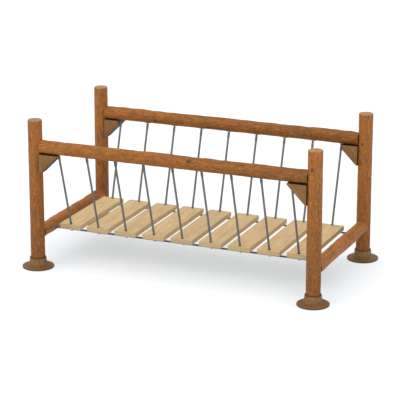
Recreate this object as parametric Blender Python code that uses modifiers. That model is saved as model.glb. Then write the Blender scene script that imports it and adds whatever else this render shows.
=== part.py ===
"""Balance bridge for a playground.

Four round posts stand in flanged feet. Two log handrails and two cross beams join the posts.
Nine planks hang on leaning hangers from the handrails, and two cables run under the planks
from beam to beam.

Frame: +X along the bridge, +Y from the front handrail to the back one, +Z up. The origin is on
the ground in the middle of the four feet. Sizes are in metres and angles in radians.
"""
import math

import bmesh
import bpy
from mathutils import Matrix, Vector

# Fit between two pieces that touch, and how far a cutter runs past the piece that it cuts
GAP = 0.0003
CUT_PAST = 0.010

# Posts and feet
POST_SPACING_X = 2.40
POST_SPACING_Y = 1.23
POST_TOP = 1.25
POST_RADIUS = 0.060
POST_EDGE = 0.005
FOOT_RADIUS = 0.130
FOOT_RIM = 0.020
FOOT_HEIGHT = 0.088
FOOT_EDGE = 0.004
FOOT_FILLET = 0.008
FOOT_FLOOR = 0.010
COLLAR_BASE_RADIUS = 0.074
COLLAR_TOP_RADIUS = 0.067

# Handrails and cross beams, whose square ends are let into the posts
LOG_RADIUS = 0.054
RAIL_HEIGHT = 1.030
BEAM_HEIGHT = 0.290
LOG_END_TO_POST_AXIS = 0.048

# Gusset brackets under the ends of the handrails, and the room for a hanger, either way along X
BRACKET_END_TO_POST_AXIS = 0.051
BRACKET_LEG = 0.165
BRACKET_TIP = 0.012
BRACKET_THICKNESS = 0.100
HANGER_ROOM = 0.017

# Planks
PLANK_COUNT = 9
PLANK_PITCH = 0.250
PLANK_WIDTH = 0.190
PLANK_LENGTH = 0.850
PLANK_THICKNESS = 0.040
PLANK_TOP = 0.330
PLANK_EDGE = 0.004

# A plank's slanted holes, and its recesses to either side of the cable's line
PLANK_HOLE_RADIUS = 0.0135
RECESS_HALF_X = 0.017
RECESS_INNER = 0.024
RECESS_OUTER = 0.032
RECESS_DEPTH = 0.018

# Cables under the planks
CABLE_RADIUS = 0.008
CABLE_Y = 0.385
CABLE_BORE_DEPTH = 0.030
CABLE_COLLAR_RADIUS = 0.012
CABLE_COLLAR_LENGTH = 0.034
CABLE_COLLAR_TAPER = 0.006

# Hangers: distances down the hanger are from the handrail's axis
ROPE_RADIUS = 0.008
PIN_DROP = 0.068
PIN_RADIUS = 0.004
PIN_HOLE_RADIUS = 0.0045
LUG_RADIUS = 0.010
LUG_THICKNESS = 0.006
FORK_SLOT = 0.0066
CHEEK_THICKNESS = 0.004
CHEEK_RADIUS = 0.009
FERRULE_TOP = 0.083
FERRULE_BOTTOM = 0.105
FERRULE_RADIUS = 0.0110
FERRULE_END_RADIUS = 0.0092
FERRULE_TAPER = 0.008
CHEEK_EMBED = 0.003
NECK_TOP = 0.0255
NECK_RADIUS = 0.0095
RING_RADIUS = 0.0160
RING_HOLE_RADIUS = 0.0100
RING_WIDTH = 0.012

# Sides of round pieces
POST_SIDES = 28
LOG_SIDES = 24
CABLE_SIDES = 12
ROPE_SIDES = 8
PIN_SIDES = 6
EYE_SIDES = 10
TONGUE_STEPS = 5
SHARP_ANGLE = math.radians(40)

# Derived places
HALF_X = POST_SPACING_X / 2
HALF_Y = POST_SPACING_Y / 2
RAIL_LENGTH = POST_SPACING_X - 2 * LOG_END_TO_POST_AXIS
BEAM_LENGTH = POST_SPACING_Y - 2 * LOG_END_TO_POST_AXIS
CABLE_HEIGHT = PLANK_TOP - PLANK_THICKNESS - GAP - CABLE_RADIUS
HANGER_RUN = HALF_Y - CABLE_Y
HANGER_FALL = RAIL_HEIGHT - CABLE_HEIGHT
HANGER_SPAN = math.hypot(HANGER_RUN, HANGER_FALL)
HANGER_LEAN = math.atan2(HANGER_RUN, HANGER_FALL)
SIDES = {"front": -1, "back": 1}
ENDS = {"left": -1, "right": 1}

WOOD_POST = ("stained_wood_post", (0.36, 0.14, 0.045), 0.55, 0.0)
WOOD_RAIL = ("stained_wood_rail", (0.37, 0.15, 0.050), 0.55, 0.0)
WOOD_BEAM = ("stained_wood_beam", (0.38, 0.15, 0.055), 0.60, 0.0)
WOOD_BRACKET = ("sawn_wood_bracket", (0.26, 0.16, 0.075), 0.65, 0.0)
WOOD_PLANK = ("pale_pine_plank", (0.68, 0.48, 0.26), 0.60, 0.0)
FOOT_PAINT = ("brown_painted_foot", (0.22, 0.115, 0.045), 0.50, 0.0)
ROPE_STEEL = ("hanger_steel", (0.24, 0.24, 0.25), 0.45, 0.8)
CABLE_STEEL = ("cable_steel", (0.17, 0.16, 0.17), 0.45, 0.8)


def clear_scene():
    for scene_object in list(bpy.data.objects):
        bpy.data.objects.remove(scene_object, do_unlink=True)


def new_collection(name):
    collection = bpy.data.collections.new(name)
    bpy.context.scene.collection.children.link(collection)
    return collection


def make_material(node_name, finish):
    name, colour, roughness, metallic = finish
    material = bpy.data.materials.new(f"{name}_{node_name}")
    material.use_nodes = True
    shader = material.node_tree.nodes["Principled BSDF"]
    shader.inputs["Base Color"].default_value = (*colour, 1.0)
    shader.inputs["Roughness"].default_value = roughness
    shader.inputs["Metallic"].default_value = metallic
    material.diffuse_color = (*colour, 1.0)
    return material


def add_part(name, mesh, finish, location=(0, 0, 0), rotation=(0, 0, 0), parent=None):
    """A piece of the bridge, in its own node with its own material."""
    part = bpy.data.objects.new(name, mesh)
    part.location = location
    part.rotation_euler = rotation
    part.parent = parent
    PARTS.objects.link(part)
    if not mesh.materials:
        mesh.materials.append(None)
    part.material_slots[0].link = "OBJECT"
    part.material_slots[0].material = make_material(name, finish)
    return part


def add_cutter(name, mesh, location=(0, 0, 0), rotation=(0, 0, 0)):
    cutter = bpy.data.objects.new(name, mesh)
    cutter.location = location
    cutter.rotation_euler = rotation
    cutter.hide_render = True
    cutter.display_type = "WIRE"
    CUTTERS.objects.link(cutter)
    return cutter


def boolean(part, cutter, operation="DIFFERENCE"):
    modifier = part.modifiers.new(cutter.name, "BOOLEAN")
    modifier.operation = operation
    modifier.solver = "EXACT"
    modifier.object = cutter


def finish_mesh(mesh):
    mesh.shade_smooth()
    mesh.set_sharp_from_angle(angle=SHARP_ANGLE)
    return mesh


def mesh_from(name, shapes):
    """A mesh that holds the given bmesh-building functions' shapes."""
    form = bmesh.new()
    for shape in shapes:
        shape(form)
    mesh = bpy.data.meshes.new(name)
    form.to_mesh(mesh)
    form.free()
    return finish_mesh(mesh)


def rod(radius, length, sides, matrix=Matrix.Identity(4)):
    """A cylinder along local Z, centred, moved by the matrix."""
    def build(form):
        bmesh.ops.create_cone(form, cap_ends=True, segments=sides, radius1=radius,
                              radius2=radius, depth=length, matrix=matrix)
    return build


def block(size, matrix=Matrix.Identity(4)):
    """A box of the given size, centred, moved by the matrix."""
    def build(form):
        bmesh.ops.create_cube(form, size=1.0, matrix=matrix @ Matrix.Diagonal((*size, 1.0)))
    return build


def turned_mesh(name, profile, sides):
    """A solid of revolution about Z. The profile runs from the axis at the top, down its outer
    side, to the axis at the bottom, as (radius, height) pairs."""
    outline = bpy.data.meshes.new(name + "_profile")
    points = [(radius, 0.0, height) for radius, height in profile]
    outline.from_pydata(points, [(i, i + 1) for i in range(len(points) - 1)], [])
    holder = bpy.data.objects.new(name + "_profile", outline)
    PARTS.objects.link(holder)
    screw = holder.modifiers.new("turn", "SCREW")
    screw.steps = sides
    screw.render_steps = sides
    screw.use_merge_vertices = True
    screw.merge_threshold = 0.00005
    mesh = evaluated_mesh(name, holder)
    bpy.data.objects.remove(holder, do_unlink=True)
    return finish_mesh(mesh)


def plate_mesh(name, outline, thickness, matrix=Matrix.Identity(4)):
    """A flat plate: the outline is in its local XY plane, and the thickness along local Z."""
    curve = bpy.data.curves.new(name + "_outline", "CURVE")
    curve.dimensions = "2D"
    curve.fill_mode = "BOTH"
    curve.extrude = thickness / 2
    spline = curve.splines.new("POLY")
    spline.points.add(len(outline) - 1)
    for point, (x, y) in zip(spline.points, outline):
        point.co = (x, y, 0.0, 1.0)
    spline.use_cyclic_u = True
    holder = bpy.data.objects.new(name + "_outline", curve)
    PARTS.objects.link(holder)
    mesh = evaluated_mesh(name, holder)
    bpy.data.objects.remove(holder, do_unlink=True)
    form = bmesh.new()
    form.from_mesh(mesh)
    bmesh.ops.remove_doubles(form, verts=form.verts, dist=0.00001)
    bmesh.ops.recalc_face_normals(form, faces=form.faces)
    bmesh.ops.transform(form, matrix=matrix, verts=form.verts)
    form.to_mesh(mesh)
    form.free()
    return finish_mesh(mesh)


def evaluated_mesh(name, holder):
    depsgraph = bpy.context.evaluated_depsgraph_get()
    mesh = bpy.data.meshes.new_from_object(holder.evaluated_get(depsgraph))
    mesh.name = name
    return mesh


def joined_mesh(name, meshes_and_matrices):
    """One mesh from several, each moved by its matrix."""
    form = bmesh.new()
    for mesh, matrix in meshes_and_matrices:
        first = len(form.verts)
        form.from_mesh(mesh)
        form.verts.ensure_lookup_table()
        bmesh.ops.transform(form, matrix=matrix, verts=form.verts[first:])
    joined = bpy.data.meshes.new(name)
    form.to_mesh(joined)
    form.free()
    return finish_mesh(joined)


def tongue_outline(radius, root):
    """A strip with a round end: half a circle about the origin on the +Y side, and straight
    sides down to y = -root."""
    turns = [math.pi * i / TONGUE_STEPS for i in range(TONGUE_STEPS + 1)]
    arc = [(radius * math.cos(turn), radius * math.sin(turn)) for turn in turns]
    return arc + [(-radius, -root), (radius, -root)]


def along_x():
    return Matrix.Rotation(math.pi / 2, 4, "Y")


def along_y():
    return Matrix.Rotation(math.pi / 2, 4, "X")


def half_facet(sides):
    """Turns a cylinder about its own axis by half a side, so that flats face up and sideways."""
    return Matrix.Rotation(math.pi / sides, 4, "Z")


def upright_plate():
    """Turns a plate's outline plane into YZ, so that its thickness lies along X."""
    return Matrix(((0, 0, 1, 0), (1, 0, 0, 0), (0, 1, 0, 0), (0, 0, 0, 1)))


def plank_x(number):
    return (number - (PLANK_COUNT + 1) / 2) * PLANK_PITCH


def hanger_lean(side):
    """Rotation about X that turns local Z up the hanger's line."""
    return -SIDES[side] * HANGER_LEAN


def hanger_point(side, number, drop):
    """The point at a distance down the hanger's line from the handrail's axis."""
    up = Vector((0.0, SIDES[side] * math.sin(HANGER_LEAN), math.cos(HANGER_LEAN)))
    return Vector((plank_x(number), SIDES[side] * HALF_Y, RAIL_HEIGHT)) - up * drop


def corner_points():
    for side, y_sign in SIDES.items():
        for end, x_sign in ENDS.items():
            yield f"{side}_{end}", x_sign, y_sign


def make_feet():
    """A turned foot: a round flange with a rim, and a tapered collar with a blind socket."""
    socket = POST_RADIUS + GAP
    profile = [
        (0.0, FOOT_FLOOR),
        (socket, FOOT_FLOOR),
        (socket, FOOT_HEIGHT),
        (COLLAR_TOP_RADIUS - FOOT_EDGE / 2, FOOT_HEIGHT),
        (COLLAR_TOP_RADIUS, FOOT_HEIGHT - FOOT_EDGE),
        (COLLAR_BASE_RADIUS, FOOT_RIM + FOOT_EDGE + FOOT_FILLET),
        (COLLAR_BASE_RADIUS + FOOT_FILLET, FOOT_RIM + FOOT_EDGE),
        (FOOT_RADIUS - FOOT_EDGE, FOOT_RIM),
        (FOOT_RADIUS, FOOT_RIM - FOOT_EDGE),
        (FOOT_RADIUS, 0.0),
        (0.0, 0.0),
    ]
    mesh = turned_mesh("foot", profile, POST_SIDES)
    for corner, x_sign, y_sign in corner_points():
        add_part(f"foot_{corner}", mesh, FOOT_PAINT, (x_sign * HALF_X, y_sign * HALF_Y, 0.0))


def make_posts():
    """A round post with sockets for the square ends of a handrail and a cross beam, and a
    pocket for the end of a bracket."""
    bottom = FOOT_FLOOR + GAP
    profile = [
        (0.0, POST_TOP),
        (POST_RADIUS - POST_EDGE, POST_TOP),
        (POST_RADIUS, POST_TOP - POST_EDGE),
        (POST_RADIUS, bottom),
        (0.0, bottom),
    ]
    mesh = turned_mesh("post", profile, POST_SIDES)
    sockets = socket_cutter()
    pockets = pocket_cutter()
    for corner, x_sign, y_sign in corner_points():
        place = (x_sign * HALF_X, y_sign * HALF_Y, 0.0)
        post = add_part(f"post_{corner}", mesh, WOOD_POST, place)
        boolean(post, sockets)
        boolean(post, pockets)


def log_rod(length, direction, place=Matrix.Identity(4), clearance=0.0):
    """A log with square ends, its middle at the place."""
    return rod(LOG_RADIUS + clearance, length + 2 * clearance, LOG_SIDES,
               place @ direction @ half_facet(LOG_SIDES))


def socket_cutter():
    """The outlines of the two handrails and the two cross beams, with their clearance."""
    logs = []
    for y_sign in SIDES.values():
        place = Matrix.Translation((0.0, y_sign * HALF_Y, RAIL_HEIGHT))
        logs.append(log_rod(RAIL_LENGTH, along_x(), place, GAP))
    for x_sign in ENDS.values():
        place = Matrix.Translation((x_sign * HALF_X, 0.0, BEAM_HEIGHT))
        logs.append(log_rod(BEAM_LENGTH, along_y(), place, GAP))
    return add_cutter("cutter_sockets", mesh_from("cutter_sockets", logs))


def pocket_cutter():
    """The space in each post for the square end of a bracket, from the bracket's foot up to the
    handrail's axis, with its clearance."""
    height = LOG_RADIUS + BRACKET_LEG + 2 * GAP
    size = (POST_RADIUS, BRACKET_THICKNESS + 2 * GAP, height)
    middle = HALF_X - BRACKET_END_TO_POST_AXIS + GAP - POST_RADIUS / 2
    blocks = []
    for _, x_sign, y_sign in corner_points():
        place = (x_sign * middle, y_sign * HALF_Y, RAIL_HEIGHT - height / 2)
        blocks.append(block(size, Matrix.Translation(place)))
    return add_cutter("cutter_pockets", mesh_from("cutter_pockets", blocks))


def lug_meshes(side):
    """The eye plates that hang the ropes, each with its root on the handrail's axis, and the
    holes through them."""
    plate = plate_mesh("lug", tongue_outline(LUG_RADIUS, PIN_DROP), LUG_THICKNESS)
    # The tongue's round end points down the hanger, so the plate is turned over
    flip = Matrix.Rotation(math.pi, 4, "X")
    lean = Matrix.Rotation(hanger_lean(side), 4, "X")
    plates = []
    holes = []
    for number in range(1, PLANK_COUNT + 1):
        place = Matrix.Translation(hanger_point(side, number, PIN_DROP))
        plates.append((plate, place @ lean @ flip @ upright_plate()))
        holes.append(rod(PIN_HOLE_RADIUS, LUG_THICKNESS + 2 * CUT_PAST, EYE_SIDES,
                         place @ lean @ along_x()))
    return joined_mesh(f"lugs_{side}", plates), mesh_from(f"lug_holes_{side}", holes)


def make_handrails():
    for side, y_sign in SIDES.items():
        log = mesh_from(f"handrail_{side}", [log_rod(RAIL_LENGTH, along_x())])
        rail = add_part(f"handrail_{side}", log, WOOD_RAIL, (0.0, y_sign * HALF_Y, RAIL_HEIGHT))
        lugs, holes = lug_meshes(side)
        boolean(rail, add_cutter(f"lugs_{side}", lugs), "UNION")
        boolean(rail, add_cutter(f"lug_holes_{side}", holes))


def make_beams():
    """A cross beam has a blind bore on its inner side for the end of each cable."""
    bore_radius = CABLE_RADIUS + GAP
    bore_x = HALF_X - LOG_RADIUS
    bores = []
    for x_sign in ENDS.values():
        for y_sign in SIDES.values():
            place = Matrix.Translation((x_sign * bore_x, y_sign * CABLE_Y, CABLE_HEIGHT))
            bores.append(rod(bore_radius, 2 * (CABLE_BORE_DEPTH + GAP), CABLE_SIDES, place @ along_x()))
    bore_cutter = add_cutter("cutter_bores", mesh_from("cutter_bores", bores))
    for end, x_sign in ENDS.items():
        log = mesh_from(f"beam_{end}", [log_rod(BEAM_LENGTH, along_y())])
        beam = add_part(f"beam_{end}", log, WOOD_BEAM, (x_sign * HALF_X, 0.0, BEAM_HEIGHT))
        boolean(beam, bore_cutter)


def make_brackets():
    """A triangular gusset with blunt tips, as thick as a log, under the handrail and let into
    the post. The outline is in distances from the post's axis, towards the middle of the bridge,
    and from the handrail's axis, downwards. Its tip is rebated to clear the end hanger."""
    post_face = BRACKET_END_TO_POST_AXIS
    rail_face = LOG_RADIUS + GAP
    outline = [
        (post_face, -rail_face),
        (post_face, -rail_face - BRACKET_LEG),
        (post_face + BRACKET_TIP, -rail_face - BRACKET_LEG),
        (post_face + BRACKET_LEG, -rail_face - BRACKET_TIP),
        (post_face + BRACKET_LEG, -rail_face),
    ]
    # The plate's outline plane becomes XZ, and its thickness lies along Y
    stand = Matrix.Rotation(math.pi / 2, 4, "X")
    mesh = plate_mesh("bracket", outline, BRACKET_THICKNESS, stand)
    for corner, x_sign, y_sign in corner_points():
        turn = (0.0, 0.0, 0.0) if x_sign < 0 else (0.0, 0.0, math.pi)
        place = (x_sign * HALF_X, y_sign * HALF_Y, RAIL_HEIGHT)
        bracket = add_part(f"bracket_{corner}", mesh, WOOD_BRACKET, place, turn)
        boolean(bracket, rebate_cutter(corner, x_sign, y_sign))


def rebate_cutter(corner, x_sign, y_sign):
    """The space for the end hanger's fork, on the bridge's side of the handrail's axis."""
    size = (2 * HANGER_ROOM, BRACKET_THICKNESS, 2 * BRACKET_LEG)
    place = (x_sign * plank_x(PLANK_COUNT), y_sign * (HALF_Y - BRACKET_THICKNESS / 2), RAIL_HEIGHT)
    return add_cutter(f"rebate_{corner}", mesh_from(f"rebate_{corner}", [block(size)]), place)


def plank_cutter():
    """At each end of a plank, a slanted hole for the hanger and a recess in the underside for
    the ring that holds the cable. Local to a plank, with its origin on the plank's middle at
    the height of the ground."""
    shapes = []
    bottom = PLANK_TOP - PLANK_THICKNESS
    for side in SIDES:
        crossing = hanger_point(side, (PLANK_COUNT + 1) // 2, HANGER_SPAN - PLANK_THICKNESS)
        lean = Matrix.Rotation(hanger_lean(side), 4, "X")
        place = Matrix.Translation(crossing) @ lean
        shapes.append(rod(PLANK_HOLE_RADIUS, PLANK_THICKNESS + 4 * CUT_PAST, EYE_SIDES, place))
    holes = mesh_from("plank_holes", shapes)
    shapes = []
    for y_sign in SIDES.values():
        middle = y_sign * (CABLE_Y + (RECESS_OUTER - RECESS_INNER) / 2)
        size = (2 * RECESS_HALF_X, RECESS_INNER + RECESS_OUTER, 2 * RECESS_DEPTH)
        shapes.append(block(size, Matrix.Translation((0.0, middle, bottom))))
    return holes, mesh_from("plank_recesses", shapes)


def make_planks():
    holes, recesses = plank_cutter()
    board = mesh_from("plank", [block((PLANK_WIDTH, PLANK_LENGTH, PLANK_THICKNESS),
                      Matrix.Translation((0.0, 0.0, PLANK_TOP - PLANK_THICKNESS / 2)))])
    hole_cutter = add_cutter("cutter_plank_holes", holes)
    recess_cutter = add_cutter("cutter_plank_recesses", recesses)
    pattern = bpy.data.objects.new("plank_pattern", board)
    PARTS.objects.link(pattern)
    edge = pattern.modifiers.new("edge", "BEVEL")
    edge.width = PLANK_EDGE
    edge.segments = 1
    boolean(pattern, hole_cutter)
    boolean(pattern, recess_cutter)
    mesh = finish_mesh(evaluated_mesh("plank_drilled", pattern))
    bpy.data.objects.remove(pattern, do_unlink=True)
    for number in range(1, PLANK_COUNT + 1):
        add_part(f"plank_{number}", mesh, WOOD_PLANK, (plank_x(number), 0.0, 0.0))


def make_cables():
    """A cable with a swaged collar against the beam at each end, and its tips in the bores."""
    beam_face = HALF_X - LOG_RADIUS
    tip = beam_face + CABLE_BORE_DEPTH
    collar_end = beam_face - GAP
    collar_start = collar_end - CABLE_COLLAR_LENGTH
    half = [
        (0.0, tip),
        (CABLE_RADIUS, tip),
        (CABLE_RADIUS, collar_end),
        (CABLE_COLLAR_RADIUS, collar_end),
        (CABLE_COLLAR_RADIUS, collar_start),
        (CABLE_RADIUS, collar_start - CABLE_COLLAR_TAPER),
    ]
    profile = half + [(radius, -height) for radius, height in reversed(half)]
    mesh = turned_mesh("cable", profile, CABLE_SIDES)
    mesh.transform(along_x())
    for side, y_sign in SIDES.items():
        add_part(f"cable_{side}", mesh, CABLE_STEEL, (0.0, y_sign * CABLE_Y, CABLE_HEIGHT))


def hanger_mesh():
    """A hanger about its pin, with local Z up its line: a fork with the pin, a ferrule, the
    rope, and the ring round the cable."""
    pin_to_ring = HANGER_SPAN - PIN_DROP
    top = PIN_DROP - FERRULE_TOP
    taper = PIN_DROP - FERRULE_BOTTOM
    neck = NECK_TOP - pin_to_ring
    profile = [
        (0.0, top),
        (FERRULE_RADIUS, top),
        (FERRULE_RADIUS, taper),
        (FERRULE_END_RADIUS, taper - FERRULE_TAPER),
        (ROPE_RADIUS, taper - FERRULE_TAPER),
        (ROPE_RADIUS, neck),
        (NECK_RADIUS, neck),
        (NECK_RADIUS, RING_RADIUS / 2 - pin_to_ring),
        (0.0, RING_RADIUS / 2 - pin_to_ring),
    ]
    pattern = bpy.data.objects.new("hanger_pattern", turned_mesh("hanger_rope", profile, ROPE_SIDES))
    PARTS.objects.link(pattern)
    cheek = plate_mesh("cheek", tongue_outline(CHEEK_RADIUS, FERRULE_TOP - PIN_DROP + CHEEK_EMBED),
                       CHEEK_THICKNESS)
    offset = (FORK_SLOT + CHEEK_THICKNESS) / 2
    cheeks = [(cheek, Matrix.Translation((x_sign * offset, 0.0, 0.0)) @ upright_plate())
              for x_sign in ENDS.values()]
    pin_length = FORK_SLOT + 2 * CHEEK_THICKNESS + PIN_RADIUS
    pin = mesh_from("pin", [rod(PIN_RADIUS, pin_length, PIN_SIDES, along_x())])
    ring_place = Matrix.Translation((0.0, 0.0, -pin_to_ring)) @ along_x()
    ring = mesh_from("ring", [rod(RING_RADIUS, RING_WIDTH, EYE_SIDES, ring_place)])
    ring_hole = mesh_from("ring_hole", [rod(RING_HOLE_RADIUS, RING_WIDTH + 2 * CUT_PAST, EYE_SIDES,
                                            ring_place)])
    boolean(pattern, add_cutter("hanger_cheeks", joined_mesh("cheeks", cheeks)), "UNION")
    boolean(pattern, add_cutter("hanger_pin", pin), "UNION")
    boolean(pattern, add_cutter("hanger_ring", ring), "UNION")
    boolean(pattern, add_cutter("hanger_ring_hole", ring_hole))
    mesh = finish_mesh(evaluated_mesh("hanger", pattern))
    bpy.data.objects.remove(pattern, do_unlink=True)
    return mesh


def make_hangers():
    mesh = hanger_mesh()
    for side in SIDES:
        for number in range(1, PLANK_COUNT + 1):
            add_part(f"hanger_{side}_{number}", mesh, ROPE_STEEL,
                     hanger_point(side, number, PIN_DROP), (hanger_lean(side), 0.0, 0.0))


def main():
    make_feet()
    make_posts()
    make_handrails()
    make_beams()
    make_brackets()
    make_planks()
    make_cables()
    make_hangers()


clear_scene()
PARTS = new_collection("balance_bridge")
CUTTERS = new_collection("cutters")
main()
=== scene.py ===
"""Looks of the balance bridge: logs, sawn boards, turned feet, wire ropes and their fittings.

Every piece is a surface worked out on a grid of points, in metres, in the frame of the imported
model: +X along the bridge, +Y from the front handrail to the back one, +Z up.
"""
import math

import bpy
import numpy as np
from mathutils import Euler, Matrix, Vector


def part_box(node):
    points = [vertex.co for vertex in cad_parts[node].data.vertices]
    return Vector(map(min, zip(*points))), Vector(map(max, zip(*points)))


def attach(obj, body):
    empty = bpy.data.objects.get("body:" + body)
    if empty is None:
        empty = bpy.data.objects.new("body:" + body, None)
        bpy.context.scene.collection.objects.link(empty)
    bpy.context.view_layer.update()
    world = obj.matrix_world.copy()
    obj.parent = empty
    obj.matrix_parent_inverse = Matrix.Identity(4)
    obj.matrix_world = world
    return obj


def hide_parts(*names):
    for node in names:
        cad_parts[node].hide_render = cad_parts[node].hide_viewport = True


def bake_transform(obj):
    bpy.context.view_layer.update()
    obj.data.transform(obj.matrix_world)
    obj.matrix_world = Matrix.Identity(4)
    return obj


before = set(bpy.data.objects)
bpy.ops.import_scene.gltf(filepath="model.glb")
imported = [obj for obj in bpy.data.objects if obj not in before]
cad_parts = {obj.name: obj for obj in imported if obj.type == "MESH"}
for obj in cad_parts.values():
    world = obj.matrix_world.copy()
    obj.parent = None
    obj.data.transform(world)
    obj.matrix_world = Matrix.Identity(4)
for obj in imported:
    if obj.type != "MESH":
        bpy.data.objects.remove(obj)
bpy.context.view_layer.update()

SIDES = {"front": -1, "back": 1}
ENDS = {"left": -1, "right": 1}
CORNERS = {f"{side}_{end}": (x_sign, y_sign)
           for side, y_sign in SIDES.items() for end, x_sign in ENDS.items()}

# The camera that the photograph was taken with, as fitted to the posts, handrails and planks
CAMERA_PLACE = (5.902, -14.065, 5.143)
CAMERA_AZIMUTH = math.radians(22.81)
CAMERA_PITCH = math.radians(16.79)
CAMERA_LENS = 174.5
CAMERA_SENSOR = 36.0
CAMERA_REACH = 200.0

# Light and floor
FLOOR_RADIUS = 60.0
FLOOR_RIM_RADIUS = 14.0
FLOOR_RIM_RISE = 10.0
FLOOR_SIDES = 96
FLOOR_TONE = (0.548, 0.513, 0.479, 1.0)
FLOOR_ROUGHNESS = 0.9
GLOW_TONE = (0.715, 0.864, 1.0, 1.0)
FLOOR_GLOW = 0.425
FAR_GLOW = 0.85
FLOOR_NEAR = 7.0
FLOOR_FAR = 20.0
SKY_STRENGTH = 0.50
OVERHEAD_STRENGTH = 2.2
OVERHEAD_ANGLE = math.radians(108)
FRONT_STRENGTH = 1.6
FRONT_ANGLE = math.radians(90)
FRONT_ELEVATION = math.radians(25)
FRONT_AZIMUTH = math.radians(-8)

# Points on a rounding, and on a small one
ARC_POINTS = 5
SMALL_ARC_POINTS = 4

# Corners of a rectangle, anticlockwise: its sides across and up, and where the corner's arc starts
ROUND_CORNERS = ((1, 1, 0), (-1, 1, 90), (-1, -1, 180), (1, -1, 270))

# Points closer than the weld are one point. The phase keeps round sizes off the edges of its cells.
WELD = 1e-6
WELD_PHASE = 0.31

# Edges that turn by more than these angles are sharp
SHARP = math.radians(40)
PLANK_SHARP = math.radians(50)
ROPE_SHARP = math.radians(70)

# Seeds, to which a piece's number is added
POST_SEED, RAIL_SEED, BEAM_SEED, BRACKET_SEED, PLANK_SEED = 11, 21, 31, 41, 60

# Logs. The CAD's are prisms with this many facets.
LOG_FACETS = 24
LOG_SIDES = 80
LOG_STEP = 0.009
POST_ARRIS = 0.008
LOG_ARRIS = 0.003
END_ROWS = 7
POST_INSET = 0.0014
LOG_MOST = 0.0040
POST_SWELL = 0.0003
LOG_SWELL = 0.0013
POST_BUMPS = 0.0002
LOG_BUMPS = 0.0010
CALM_SIDE = 0.7
# Painted shade: how much darker the underside of a level log is painted
UNDERSIDE_SHADE = 0.12

# How many waves, how often they turn round the log and how long they are
SWELL_WAVES = (6, (0, 3), (0.30, 1.1))
BUMP_WAVES = (9, (1, 6), (0.08, 0.26))

# Knots: their number for a metre of log, where along it, their size, how round they are, how much
# higher than a bump they stand and how much they widen the rings
KNOTS_PER_METRE = 3.2
FEWEST_KNOTS = 2
KNOT_PLACES = (0.04, 0.96)
KNOT_SIZES = (0.010, 0.020)
KNOT_STRETCH = 0.7
KNOT_HEIGHT = 1.2
KNOT_RINGS = 0.012

# The pith: how far it wanders, its waves across both ways, and how rings close up along the trunk.
# Each seed's piece comes from another stretch of the trunk, so that no two match.
PITH_WANDER = 0.010
PITH_WAVES = ((2.1, 5.3), (1.7, 4.6))
TRUNK_TAPER = 0.04
LOG_STRETCH = 10.0
BRACKET_STRETCH = 5.0
PLANK_STRETCH = 3.0

# Feet
FOOT_SIDES = 96
FOOT_FLOOR = 0.010
COLLAR_BASE_RADIUS = 0.074
COLLAR_TOP_RADIUS = 0.067
FOOT_RIM = 0.020
FOOT_ARRIS = 0.003
FOOT_FILLET = 0.006
FOOT_EDGE = 0.014
FLANGE_POINTS = 6
FLANGE_CURVE = 0.7
LIP_CHAMFER = 0.0045
LIP_BAND = 0.0055
SOCKET_FIT = 0.0003
RIM_WEAR = 0.4
COLLAR_WEAR = 0.6
# Painted shade: how dark the lip is painted, for the shadow in the gap round the post, and the
# rim's side, for the shade at the floor
LIP_SHADE = 0.9
RIM_SHADE = 0.75

# Brackets
BRACKET_TIP = 0.012
BRACKET_ARRIS = 0.0025
BRACKET_LEAST_BEND = 1e-5
BRACKET_STEP = 0.006
BRACKET_PITH = (0.05, 0.045)
HANGER_ROOM = 0.017

# Planks
PLANK_ARRIS = 0.004
PLANK_STEP_X = 0.010
PLANK_STEP_Y = 0.012
PLANK_END = 0.35
PLANK_PITH_X = 0.05
PLANK_PITH_Z = (0.05, 0.11)
PLANK_WANDER = ((0.008, 3.1), (0.012, 2.3))
PLANK_TWIST = 0.0006
PLANK_CUP = 0.0005
HOLE_RADIUS = 0.0135
HOLE_ARRIS = 0.0008
RECESS_HALF_X = 0.017
RECESS_INNER = 0.024
RECESS_OUTER = 0.032
RECESS_DEPTH = 0.018
RECESS_CELLS = 6

# Ropes
ROPE_RADIUS = 0.0091
CABLE_RADIUS = 0.0080
ROPE_LAY = 0.104
ROPE_STRANDS = 6
ROPE_CORE = 0.80
STRAND_POINTS = 5
ROPE_STEP = 0.0036
ROPE_TURN = 0.9
ROPE_EMBED = 0.004

# Hangers: the drops are down the line from the handrail's axis, and the neck's places are up from
# the cable. The crimps take up a share of the way from the ferrule's lower edge to the pin.
FITTING_SIDES = 24
FITTING_ARRIS = 0.0012
PIN_DROP = 0.068
PIN_RADIUS = 0.004
PIN_HEAD_RADIUS = 0.0062
PIN_HEAD = 0.0020
PIN_SIDES = 20
FORK_SLOT = 0.0066
CHEEK_THICKNESS = 0.004
CHEEK_RADIUS = 0.009
CHEEK_EMBED = 0.003
FERRULE_TOP = 0.082
FERRULE_BOTTOM = 0.105
FERRULE_RADIUS = 0.0110
FERRULE_END_RADIUS = 0.0092
FERRULE_TAPER = 0.008
FERRULE_SIDES = 32
CRIMPS = 3
CRIMP_POINTS = 6
CRIMP_DEPTH = 0.0003
CRIMP_SHARE = 0.15 * math.pi
NECK_RADIUS = 0.0095
NECK_ROOT_RADIUS = 0.7 * NECK_RADIUS
NECK_TOP = 0.0255
NECK_BEVEL = (0.0015, 0.002)
RING_RADIUS = 0.0160
RING_HOLE_RADIUS = 0.0100
RING_WIDTH = 0.012
RING_ARRIS = 0.0016
RING_SIDES = 36

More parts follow.
